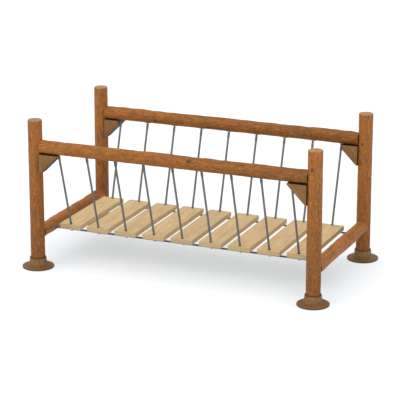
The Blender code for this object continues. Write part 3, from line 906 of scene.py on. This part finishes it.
def bracket_patch(leg, thickness, shoulder, inner_side, seed):
    """A gusset swept along local Z, from its tip to the post. Its section is a rectangle with
    rounded corners: its top edge is at local X 0, its lower edge falls with the slope, and past
    the shoulder its thickness on the inner side grows from nothing to half. The seam is the
    line that the face of that step ends on. Layer grain runs along the slope, and layer end is 1
    on the slope, the top and the face at the post, where the end tone is painted shade."""
    arris = BRACKET_ARRIS
    turn = np.linspace(0, np.pi / 2, SMALL_ARC_POINTS)
    tip_along = np.concatenate([[0.0], arris * (1 - np.cos(turn))])
    tip_inset = np.concatenate([[arris], arris * (1 - np.sin(turn))])
    before = np.linspace(arris, shoulder, round(shoulder / BRACKET_STEP))[1:]
    after = np.linspace(shoulder, leg - arris, round((leg - shoulder) / BRACKET_STEP))
    along = np.concatenate([tip_along, before, after, leg - tip_along[-2::-1]])
    inset = np.concatenate([tip_inset, 0 * before, 0 * after, tip_inset[-2::-1]])
    rebated = np.arange(len(along)) < len(tip_along) + len(before)
    depth = np.minimum(BRACKET_TIP + along, leg)
    inner = np.where(rebated, 0.0, thickness / 2)
    low_x, high_x = inset - depth, -inset
    low_y = inset - (thickness / 2 if inner_side > 0 else inner)
    high_y = (inner if inner_side > 0 else thickness / 2) - inset
    bend = arris - inset + BRACKET_LEAST_BEND
    seam = np.full((len(along), 1), -inner_side * (arris + BRACKET_LEAST_BEND))
    columns_x, columns_y = [], []
    for sign_x, sign_y, start in ROUND_CORNERS:
        angle = np.radians(start + np.linspace(0, 90, ARC_POINTS))
        corner_x = high_x if sign_x > 0 else low_x
        corner_y = high_y if sign_y > 0 else low_y
        columns_x.append((corner_x - sign_x * bend)[:, None] + bend[:, None] * np.cos(angle))
        columns_y.append((corner_y - sign_y * bend)[:, None] + bend[:, None] * np.sin(angle))
        if sign_x != sign_y:
            columns_x.append(corner_x[:, None])
            columns_y.append(seam)
    x = np.concatenate(columns_x + [columns_x[0][:, :1]], 1)
    y = np.concatenate(columns_y + [columns_y[0][:, :1]], 1)
    z = along[:, None] + 0 * x
    for row in (0, -1):
        x[row], y[row] = x[row].mean(), y[row].mean()
    half = math.sqrt(0.5)
    grain = xyz((x + z) * half + BRACKET_PITH[0], y + BRACKET_PITH[1] + 0.01 * seed,
                (z - x) * half + BRACKET_STRETCH * seed)
    near = 0.9 * arris
    # Painted shade: the slope, the top and the face at the post take the end tone
    sloped = (np.abs(x + depth[:, None]) < near) & (z < leg - 2 * arris)
    sawn = sloped | (x > -near)
    sawn[-SMALL_ARC_POINTS:] = True
    return xyz(x, y, z), grain, sawn.astype(float)


def make_brackets(wood):
    """Gussets between handrail and post, cut back on the inner side for the nearest hanger."""
    for number, (corner, (x_sign, y_sign)) in enumerate(CORNERS.items()):
        node = f"bracket_{corner}"
        low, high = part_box(node)
        tip_x = low.x if x_sign > 0 else high.x
        shoulder = PLANK_X[-1] + HANGER_ROOM - abs(tip_x)
        points, grain, end = bracket_patch(high.x - low.x, high.y - low.y, shoulder,
                                           x_sign * y_sign, BRACKET_SEED + number)
        points = placed(points, (tip_x, middle_of(node)[1], high.z), (x_sign, 0, 0), (0, 0, 1))
        surface = patch(points, grain=grain, end=end, knot=0.0, stain=1.0)
        board = add_piece(f"board_{node}", [surface], wood, [node])
        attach(board, "frame")


# Planks

def hanger_y(sign, level):
    """How far across the hangers of a side are, at a level above the ground."""
    return sign * (CABLE_Y + (level - CABLE_Z) * math.tan(LEAN))


def eased(half):
    """Lines that a rounded edge needs: from where it starts to the corner, at equal angles."""
    return half - PLANK_ARRIS + PLANK_ARRIS * np.tan(np.radians([0, 15, 30, 45]))


def board_lines(half, step, stops):
    """Grid lines across a board, both ways from its middle: dense at its eased edges, and with
    a recess's number of cells in each stretch between two stops that holds one."""
    lines = [eased(half)]
    for start, stop, recessed in stops:
        points = RECESS_CELLS + 1 if recessed else max(2, round((stop - start) / step))
        lines.append(np.linspace(start, stop, points))
    positive = np.unique(np.round(np.concatenate(lines), 7))
    return np.unique(np.concatenate([-positive, positive]))


def rounded(points, half):
    """A box's points moved onto a rounded box: each is pulled to an arris from its nearest point
    on the box that is smaller by the arris."""
    inner = np.clip(points, PLANK_ARRIS - half, half - PLANK_ARRIS)
    away = points - inner
    distance = np.linalg.norm(away, axis=-1, keepdims=True)
    return inner + PLANK_ARRIS * away / np.maximum(distance, 1e-9)


def rectangle_loop(x_lines, y_lines):
    """The points round a rectangle of grid lines, anticlockwise from its lowest corner."""
    return [np.concatenate([grid[0, :-1], grid[:-1, -1], grid[-1, :0:-1], grid[::-1, 0]])
            for grid in np.meshgrid(x_lines, y_lines)]


def hole_patch(x_lines, y_lines, half_height, sign):
    """A hole that slants with the hangers and opens into a recess: its rows go from the rectangle
    of grid lines on top, over the hole's arris, down the hole to the recess's ceiling, out to the
    rectangle and down the recess's walls."""
    top, bottom = half_height, -half_height
    ceiling = bottom + RECESS_DEPTH
    loop_x, loop_y = rectangle_loop(x_lines, y_lines)
    cells = len(loop_x) - 1
    angle = -0.75 * np.pi + 2 * np.pi * np.arange(cells + 1) / cells
    stretch = math.hypot(1, math.tan(LEAN))
    rows = [xyz(loop_x, loop_y, top)]
    for radius, height in ((HOLE_RADIUS + HOLE_ARRIS, top), (HOLE_RADIUS, top - HOLE_ARRIS),
                           (HOLE_RADIUS, (top + ceiling) / 2), (HOLE_RADIUS, ceiling)):
        middle_y = hanger_y(sign, PLANK_TOP - half_height + height)
        rows.append(xyz(radius * np.cos(angle), middle_y + radius * np.sin(angle) * stretch,
                        height))
    return np.stack(rows + [xyz(loop_x, loop_y, ceiling), xyz(loop_x, loop_y, bottom)])


def plank_grids(half):
    """A board about its middle, half a box in size, with eased edges. Each of its six sides and
    its two holes is a grid of points, the cells to keep and whether it is turned over. Top and
    bottom leave a rectangle out at each end, which a hole and its recess fill."""
    low, high = CABLE_Y - RECESS_INNER, CABLE_Y + RECESS_OUTER
    x_lines = board_lines(half[0], PLANK_STEP_X, [(0.0, RECESS_HALF_X, False),
                                                  (RECESS_HALF_X, half[0] - PLANK_ARRIS, False)])
    inner_x = np.round(np.linspace(-RECESS_HALF_X, RECESS_HALF_X, RECESS_CELLS + 1), 7)
    outer_x = x_lines[np.abs(x_lines) > RECESS_HALF_X + WELD]
    x_lines = np.sort(np.concatenate([outer_x, inner_x]))
    y_lines = board_lines(half[1], PLANK_STEP_Y, [(0.0, low, False), (low, high, True),
                                                  (high, half[1] - PLANK_ARRIS, False)])
    z_lines = np.concatenate([-eased(half[2])[::-1], eased(half[2])])
    middle_x, middle_y = (np.abs(line[1:] + line[:-1]) / 2 for line in (x_lines, y_lines))
    open_y = (middle_y > low) & (middle_y < high)
    closed = ~(open_y[:, None] & (middle_x < RECESS_HALF_X)[None, :])
    lines = (x_lines, y_lines, z_lines)
    grids = []
    for across, along, normal, outward in ((0, 1, 2, 1), (1, 2, 0, 1), (0, 2, 1, -1)):
        first, second = np.meshgrid(lines[across], lines[along])
        for sign in (1, -1):
            points = np.empty(first.shape + (3,))
            points[..., across], points[..., along] = first, second
            points[..., normal] = sign * outward * half[normal]
            grids.append((rounded(points, half), closed if normal == 2 else None, sign < 0))
    for sign in (-1, 1):
        recess = (np.abs(y_lines) > low - WELD) & (np.abs(y_lines) < high + WELD)
        ends = y_lines[recess & (np.sign(y_lines) == sign)]
        grids.append((hole_patch(inner_x, ends, half[2], sign), None, False))
    return grids


def plank_patches(half, seed):
    """A board as patches. Its top is a little cupped and twisted. Layer grain is the place in the
    trunk that the board was sawn from."""
    rng = np.random.default_rng(seed)
    pith_x = rng.uniform(-PLANK_PITH_X, PLANK_PITH_X)
    pith_z = rng.uniform(*PLANK_PITH_Z) * rng.choice([-1, 1])
    twist = rng.uniform(-PLANK_TWIST, PLANK_TWIST)
    cup = rng.uniform(-PLANK_CUP, PLANK_CUP)
    phases = rng.uniform(0, 2 * np.pi, 2)
    stain = rng.uniform(*PLANK_STAINS)
    patches = []
    for points, kept, flip in plank_grids(half):
        x, y, z = points[..., 0], points[..., 1], points[..., 2]
        lift = cup * ((x / half[0]) ** 2 - 0.5) + twist * (x / half[0]) * (y / half[1])
        lift = lift * (1 + z / half[2]) / 2
        sway_x, sway_z = (size * np.sin(wave * y + phase)
                          for (size, wave), phase in zip(PLANK_WANDER, phases))
        grain = xyz(x + pith_x + sway_x, z + pith_z + sway_z, y + PLANK_STRETCH * seed)
        end = np.where(np.abs(y) > half[1] - PLANK_ARRIS * PLANK_END, 1.0, 0.0)
        patches.append(patch(xyz(x, y, z + lift), kept, flip, grain=grain, end=end, knot=0.0,
                             stain=stain))
    return patches


def make_planks(wood):
    """Each plank rides on its own body."""
    for number in range(1, PLANK_COUNT + 1):
        node = f"plank_{number}"
        x, _, z = middle_of(node)
        half = np.array([round(side, 6) for side in half_of(node)])
        patches = [(points + (x, 0.0, z), quads, layers)
                   for points, quads, layers in plank_patches(half, PLANK_SEED + number)]
        board = add_piece(f"board_{node}", patches, wood, [node], PLANK_SHARP)
        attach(board, node)


# Ropes and fittings

def rope_patch(radius, start, stop, turn=0.0):
    """A rope along local Z. Its section has one lobe for each strand: with a strand's centre at
    two thirds of the radius and its own radius a third, the outline at an angle d from a strand
    is c cos d + root(s squared - c squared sin squared d), kept above the core. Columns follow
    the strands, which turn once in each lay. Layer lay is (place round a strand, place along)."""
    centre, strand = radius * 2 / 3, radius / 3
    column = np.arange(ROPE_STRANDS * STRAND_POINTS + 1)
    share = (column % STRAND_POINTS) / STRAND_POINTS - 0.5
    off = share * 2 * np.pi / ROPE_STRANDS
    lobe = centre * np.cos(off) + np.sqrt(np.maximum(strand ** 2 - (centre * np.sin(off)) ** 2, 0))
    lobe = np.maximum(lobe, radius * ROPE_CORE)
    rows = max(2, round((stop - start) / ROPE_STEP))
    s = np.concatenate([[start], np.linspace(start, stop, rows), [stop]])[:, None]
    size = np.concatenate([[0.0], np.ones(rows), [0.0]])[:, None]
    angle = 2 * np.pi * (column / (ROPE_STRANDS * STRAND_POINTS) + s / ROPE_LAY) + turn
    points = xyz(size * lobe * np.cos(angle), size * lobe * np.sin(angle), s)
    return points, xyz(share, s, 0.0)


def tongue(radius, root):
    """A strip with a round end: half a circle about the origin and straight sides down to the
    root, as points in local XY, anticlockwise."""
    angle = np.linspace(0, np.pi, 13)
    side = np.linspace(0, -root, 5)[1:]
    base = np.linspace(-radius, radius, 7)[1:-1]
    x = np.concatenate([radius * np.cos(angle), 0 * side - radius, base, 0 * side + radius])
    y = np.concatenate([radius * np.sin(angle), side, 0 * base - root, side[::-1]])
    return np.stack([x, y], -1)


def crosswise(points, x_offset=0.0):
    """Local XY turned into YZ, so that a plate's thickness or a pin's length lies along X."""
    return xyz(points[..., 2] + x_offset, points[..., 0], points[..., 1])


def ring_patch(outer, inner, width, arris):
    """A ring about X: a rounded rectangle carried round a circle."""
    section = rounded_outline((outer - inner) / 2, width / 2, arris)
    section = np.array(section + section[:1])[None]
    angle = np.linspace(0, 2 * np.pi, RING_SIDES + 1)[:, None]
    reach = (outer + inner) / 2 + section[..., 0]
    return xyz(section[..., 1], reach * np.sin(angle), reach * np.cos(angle))


def ferrule_profile(top, bottom):
    """A swaged sleeve up local Z, with shallow crimps in its lower part."""
    a = FITTING_ARRIS
    nose = bottom - FERRULE_TAPER
    profile = [(0.0, nose)] + quarter((FERRULE_END_RADIUS - a / 2, nose + a / 2), a / 2, -90, 0)
    for share in np.linspace(0, 1, CRIMPS * CRIMP_POINTS + 1):
        crimp = CRIMP_DEPTH * (1 - math.cos(2 * math.pi * CRIMPS * share))
        profile.append((FERRULE_RADIUS - crimp, bottom + a - CRIMP_SHARE * bottom * share))
    return profile + quarter((FERRULE_RADIUS - a, top - a), a, 0, 90) + [(0.0, top)]


def pin_profile(outer):
    """A pin along local Z with a head beyond each cheek."""
    a = FITTING_ARRIS
    head = outer + PIN_HEAD
    profile = [(0.0, -head)] + quarter((PIN_HEAD_RADIUS - a, a - head), a, -90, 0)
    profile += [(PIN_HEAD_RADIUS, -outer), (PIN_RADIUS, -outer), (PIN_RADIUS, outer),
                (PIN_HEAD_RADIUS, outer)]
    return profile + quarter((PIN_HEAD_RADIUS - a, head - a), a, 0, 90) + [(0.0, head)]


def fork_parts():
    """The ferrule, the fork's cheeks and its pin, about the pin, with local Z up the line."""
    top, bottom = PIN_DROP - FERRULE_TOP, PIN_DROP - FERRULE_BOTTOM
    cheek = slab(tongue(CHEEK_RADIUS, CHEEK_EMBED - top), CHEEK_THICKNESS, FITTING_ARRIS)
    offset = (FORK_SLOT + CHEEK_THICKNESS) / 2
    pin = turned(pin_profile(offset + CHEEK_THICKNESS / 2), PIN_SIDES)
    return [turned(ferrule_profile(top, bottom), FERRULE_SIDES), crosswise(cheek, -offset),
            crosswise(cheek, offset), crosswise(pin)]


def eye_parts():
    """The eye round the cable and its neck, about the cable, with local Z up the line."""
    ring = ring_patch(RING_RADIUS, RING_HOLE_RADIUS, RING_WIDTH, RING_ARRIS)
    low = (RING_RADIUS + RING_HOLE_RADIUS) / 2
    neck = [(0.0, low), (NECK_ROOT_RADIUS, low), (NECK_RADIUS, RING_RADIUS),
            (NECK_RADIUS, NECK_TOP - NECK_BEVEL[1]), (NECK_RADIUS - NECK_BEVEL[0], NECK_TOP),
            (0.0, NECK_TOP)]
    return [ring, turned(neck, FITTING_SIDES)]


def make_hangers(rope_finish, fork_finish, eye_finish):
    """Each hanger is a fork, a rope and an eye, and all three ride on its body."""
    pin_to_ring = HANGER_SPAN - PIN_DROP
    fork, eye = fork_parts(), eye_parts()
    rope_top, rope_bottom = PIN_DROP - FERRULE_BOTTOM, NECK_TOP - pin_to_ring - ROPE_EMBED
    for side, y_sign in SIDES.items():
        up = np.array([0.0, y_sign * math.sin(LEAN), math.cos(LEAN)])
        for number, x in enumerate(PLANK_X, 1):
            pin = np.array([x, y_sign * RAIL_Y, RAIL_Z]) - PIN_DROP * up
            cable = pin - pin_to_ring * up
            node = f"hanger_{side}_{number}"
            rope, lay = rope_patch(ROPE_RADIUS, rope_bottom, rope_top, ROPE_TURN * number)
            rope_patches = [patch(placed(rope, pin, up), lay=lay)]
            fork_patches = [patch(placed(part, pin, up)) for part in fork]
            eye_patches = [patch(placed(part, cable, up)) for part in eye]
            for kind, patches, finish, sharp in (("rope", rope_patches, rope_finish, ROPE_SHARP),
                                                 ("fork", fork_patches, fork_finish, SHARP),
                                                 ("eye", eye_patches, eye_finish, SHARP)):
                piece = add_piece(f"{kind}_{node}", patches, finish, [node], sharp)
                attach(piece, node)


def saddle_patch():
    """A plate bent round the handrail: a rounded rectangle in the plane of (place along X, angle
    round), at the radius of its inner or outer face."""
    inner, outer = LOG_RADIUS - SADDLE_EMBED, LOG_RADIUS + SADDLE_HEIGHT
    outline = rounded_outline(SADDLE_HALF_LENGTH, SADDLE_HALF_ANGLE * outer, SADDLE_CORNER)
    plate = slab(outline, outer - inner, SADDLE_ARRIS)
    angle = plate[..., 1] / outer
    reach = (inner + outer) / 2 + plate[..., 2]
    return xyz(-plate[..., 0], reach * np.sin(angle), -reach * np.cos(angle))


def make_lugs(finish):
    """The eye plates under each handrail, with their saddles, two screw heads on each."""
    plate = slab(tongue(LUG_RADIUS, PIN_DROP - LOG_RADIUS + LUG_ROOT), LUG_THICKNESS, LUG_ARRIS)
    plate = crosswise(plate) * (1, -1, -1)
    screw = [(0.0, -SCREW_HEIGHT)]
    screw += quarter((SCREW_FLAT, SCREW_ROUND - SCREW_HEIGHT), SCREW_ROUND, -90, 0)
    screw = turned(screw + [SCREW_FOOT, (0.0, SCREW_FOOT[1])], SCREW_SIDES)
    level = -LOG_RADIUS - SADDLE_HEIGHT
    fixings = [saddle_patch(), placed(screw, (-SCREW_PLACE, 0.0, level)),
               placed(screw, (SCREW_PLACE, 0.0, level))]
    for side, y_sign in SIDES.items():
        up = np.array([0.0, y_sign * math.sin(LEAN), math.cos(LEAN)])
        patches = []
        for x in PLANK_X:
            axis = np.array([x, y_sign * RAIL_Y, RAIL_Z])
            patches.append(patch(placed(plate, axis - PIN_DROP * up, up)))
            patches += [patch(placed(part, axis, up)) for part in fixings]
        lugs = add_piece(f"lugs_{side}", patches, finish, [f"handrail_{side}"])
        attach(lugs, "frame")


def cable_piece(name, side, start, stop, finish):
    """A stretch of a side's cable, from one place along the bridge to another."""
    rope, lay = rope_patch(CABLE_RADIUS, start, stop)
    points = placed(rope, (0, CABLE_Y * SIDES[side], CABLE_Z), (1, 0, 0), (0, 1, 0))
    return add_piece(name, [patch(points, lay=lay)], finish, [f"cable_{side}"],
                     ROPE_SHARP)


def collar_profile():
    """A washer on the beam, and the swaged collar that stands on it, up local Z."""
    edge, washer = WASHER_RADIUS - WASHER_BEVEL, WASHER_THICKNESS
    return [(0.0, -WASHER_EMBED), (edge, -WASHER_EMBED),
            (WASHER_RADIUS, WASHER_BEVEL - WASHER_EMBED), (WASHER_RADIUS, washer - WASHER_BEVEL),
            (edge, washer), (COLLAR_RADIUS, washer),
            (COLLAR_RADIUS, COLLAR_LENGTH - COLLAR_TAPER), (COLLAR_NOSE_RADIUS, COLLAR_LENGTH),
            (0.0, COLLAR_LENGTH)]


def make_spans(side, finish):
    """Each cable is cut where a ring hides the cut, into a span between each two planks. The span
    between the two chains goes with the left one."""
    pairs = [(number, number + 1) for number in range(1, LEFT_CHAIN_LAST)]
    pairs += [(number + 1, number) for number in range(LEFT_CHAIN_LAST + 1, PLANK_COUNT)]
    for first, second in pairs:
        x_first, x_second = PLANK_X[first - 1], PLANK_X[second - 1]
        low, high = sorted((x_first, x_second))
        piece = cable_piece(f"cable_{side}_{first}_{second}", side, low, high, finish)
        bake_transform(piece)
    last = LEFT_CHAIN_LAST
    start, stop = PLANK_X[last - 1], PLANK_X[last] - CUT_GAP
    middle = cable_piece(f"cable_{side}_{last}_{last + 1}", side, start, stop, finish)
    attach(middle, f"plank_{last}")


def make_cable_ends(side, rope_finish, fitting_finish):
    """An end stretch runs from inside the beam to its plank. Its collar is on the beam."""
    y = CABLE_Y * SIDES[side]
    beam_face = BEAM_X - LOG_RADIUS
    for end, sign in ENDS.items():
        number = 1 if sign < 0 else PLANK_COUNT
        low, high = sorted((sign * (beam_face + CABLE_EMBED), PLANK_X[number - 1]))
        piece = cable_piece(f"cable_{side}_{end}", side, low, high, rope_finish)
        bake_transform(piece)
        collar = placed(turned(collar_profile(), FITTING_SIDES), (sign * beam_face, y, CABLE_Z),
                        (-sign, 0, 0), (0, 1, 0))
        piece = add_piece(f"collar_{side}_{end}", [patch(collar)], fitting_finish,
                          [f"cable_{side}"])
        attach(piece, "frame")


# Camera, light and floor

def make_camera():
    """The photograph's camera."""
    camera = bpy.data.cameras.new("camera")
    camera.lens = CAMERA_LENS
    camera.sensor_width = CAMERA_SENSOR
    camera.clip_end = CAMERA_REACH
    holder = add_object("camera", camera)
    holder.location = CAMERA_PLACE
    holder.rotation_euler = Euler((math.pi / 2 - CAMERA_PITCH, 0.0, CAMERA_AZIMUTH))
    bpy.context.scene.camera = holder


def add_sun(name, strength, angle, elevation, azimuth):
    """A distant lamp as wide as the angle. Azimuth 0 is the front, and it grows to the right."""
    lamp = bpy.data.lights.new(name, "SUN")
    lamp.energy = strength
    lamp.angle = angle
    holder = add_object(name, lamp)
    holder.rotation_euler = Euler((math.pi / 2 - elevation, 0.0, azimuth))


def make_light():
    """An even pale sky all round, a wide soft lamp straight above and another low in front."""
    world = bpy.data.worlds.new("studio")
    world.use_nodes = True
    background = world.node_tree.nodes["Background"]
    background.inputs["Color"].default_value = grey(1.0)
    background.inputs["Strength"].default_value = SKY_STRENGTH
    bpy.context.scene.world = world
    add_sun("overhead", OVERHEAD_STRENGTH, OVERHEAD_ANGLE, math.pi / 2, 0.0)
    add_sun("front", FRONT_STRENGTH, FRONT_ANGLE, FRONT_ELEVATION, FRONT_AZIMUTH)
    bpy.context.scene.view_settings.view_transform = "Standard"


def make_floor():
    """A dish: flat, with a rim that is an arc of a circle, and that glows more far out, so that
    no horizon shows."""
    tree = Tree("pale_floor")
    reach = tree.vectors("LENGTH", tree.place(), output="Value")
    tree.shader.inputs["Emission Color"].default_value = GLOW_TONE
    tree.feed(tree.shader.inputs["Emission Strength"],
              tree.spread(reach, FLOOR_NEAR, FLOOR_FAR, FLOOR_GLOW, FAR_GLOW))
    steep = math.degrees(math.acos(1 - FLOOR_RIM_RISE / FLOOR_RIM_RADIUS))
    profile = [(0.0, 0.0), (FLOOR_NEAR, 0.0), (FLOOR_FAR, 0.0)]
    profile += quarter((FLOOR_RADIUS - FLOOR_RIM_RADIUS, FLOOR_RIM_RADIUS), FLOOR_RIM_RADIUS,
                       -90, steep - 90, 12)
    dish = patch(turned(profile, FLOOR_SIDES), flip=True)
    floor = add_object("floor", make_mesh("floor", [dish], math.pi))
    floor.data.materials.append(tree.finish(FLOOR_TONE, FLOOR_ROUGHNESS))


def main():
    """Builds everything."""
    make_camera()
    make_light()
    make_floor()
    woods = {name: wood_material(name, **look) for name, look in WOODS.items()}
    steels = {name: steel_material(name, **look) for name, look in STEELS.items()}
    make_posts(woods["post_wood"])
    make_feet(paint_material("foot_paint", **FOOT_PAINT))
    make_handrails(woods["rail_wood"])
    make_lugs(steels["fitting_steel"])
    make_beams(woods["beam_wood"])
    make_brackets(woods["bracket_wood"])
    make_planks(woods["plank_wood"])
    make_hangers(steels["rope_steel"], steels["fitting_steel"], steels["eye_steel"])
    for side in SIDES:
        make_spans(side, steels["cable_steel"])
        make_cable_ends(side, steels["cable_steel"], steels["fitting_steel"])


main()
